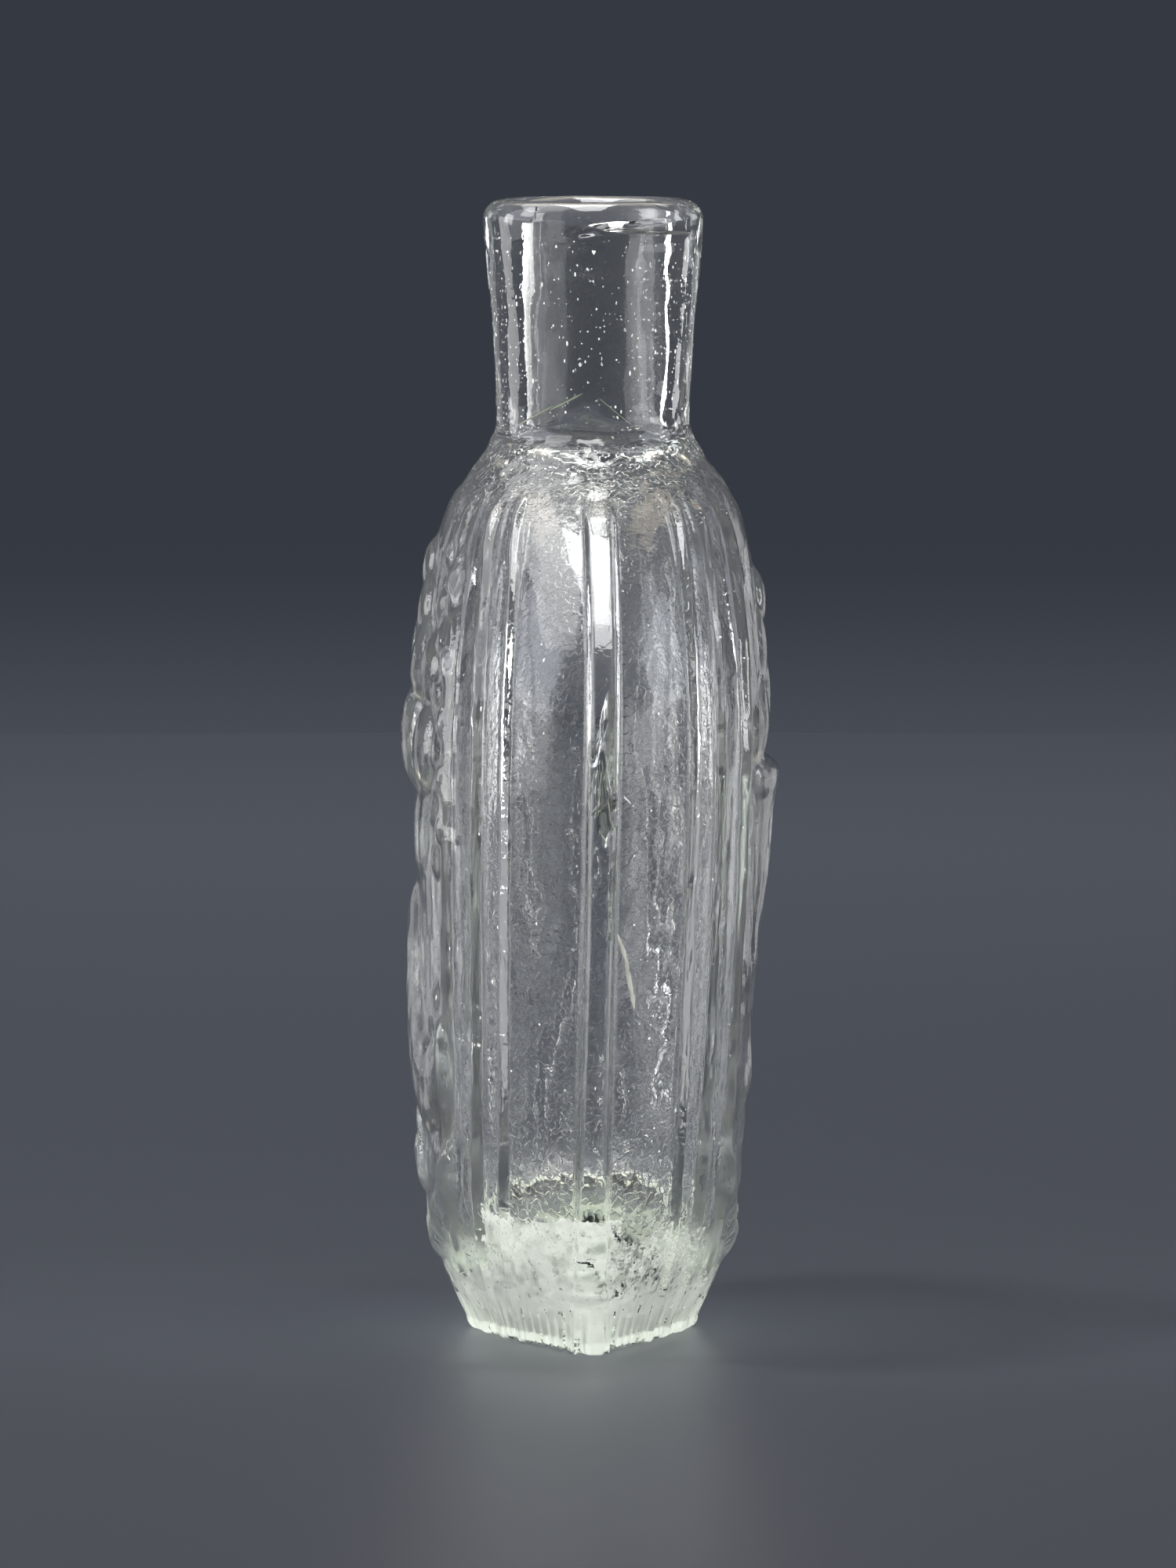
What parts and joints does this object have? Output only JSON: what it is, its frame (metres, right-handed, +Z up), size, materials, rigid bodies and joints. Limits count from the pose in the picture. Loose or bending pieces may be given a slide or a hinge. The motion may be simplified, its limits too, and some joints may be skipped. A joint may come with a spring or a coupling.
{
  "type": "figured glass flask",
  "caption": "Flat-sided mould-blown glass flask with ribbed edges, a horn and an urn of fruit in relief, and a plain round-lipped neck.",
  "frame": {"origin": "centre of the resting plane, under the middle of the flask", "axes": "+Z up and out of the mouth, X through the thickness with the urn on +X and the cornucopia on -X, Y across the broad faces from the near edge to the far edge"},
  "size_m": [0.0467, 0.1012, 0.14],
  "materials": {
    "flask_glass": "fire-polished and mould-chilled, full of seed bubbles",
    "worn_glass": "scuffed by long use",
    "fractured_glass": "broken and sharp, never polished"
  },
  "bodies": {
    "root": {"lip": "flask_glass", "neck": "flask_glass", "shoulder": "flask_glass", "cornucopia_face": "flask_glass", "urn_face": "flask_glass", "near_edge": "flask_glass", "far_edge": "flask_glass", "base": "flask_glass", "foot": "worn_glass", "pontil_scar": "fractured_glass"}
  },
  "joints": []
}
